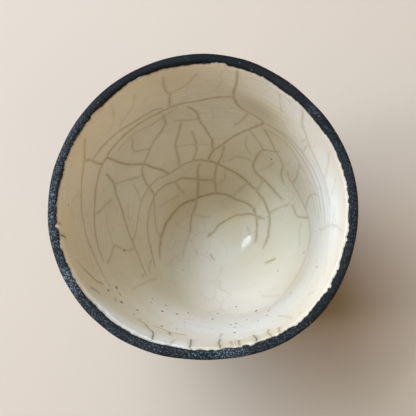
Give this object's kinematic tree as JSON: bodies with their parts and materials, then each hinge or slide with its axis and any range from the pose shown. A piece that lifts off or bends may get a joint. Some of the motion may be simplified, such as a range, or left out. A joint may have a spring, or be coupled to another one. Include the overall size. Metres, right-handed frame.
{
  "type": "raku tumbler",
  "caption": "Hand-thrown clay tumbler, open and empty, with a bare rounded lip, smooth crackle-glazed inside and trimmed foot ring; it stands on its foot.",
  "frame": {"origin": "middle of the foot ring, on the plane that the tumbler stands on", "axes": "+Z up through the open lip; +X to the right and +Y up in the picture, which looks down into the cup"},
  "size_m": [0.0883, 0.087, 0.0922],
  "materials": {
    "smoked_clay": "matte",
    "crackle_glaze": "satin"
  },
  "bodies": {
    "root": {"tumbler": "smoked_clay"}
  },
  "joints": []
}
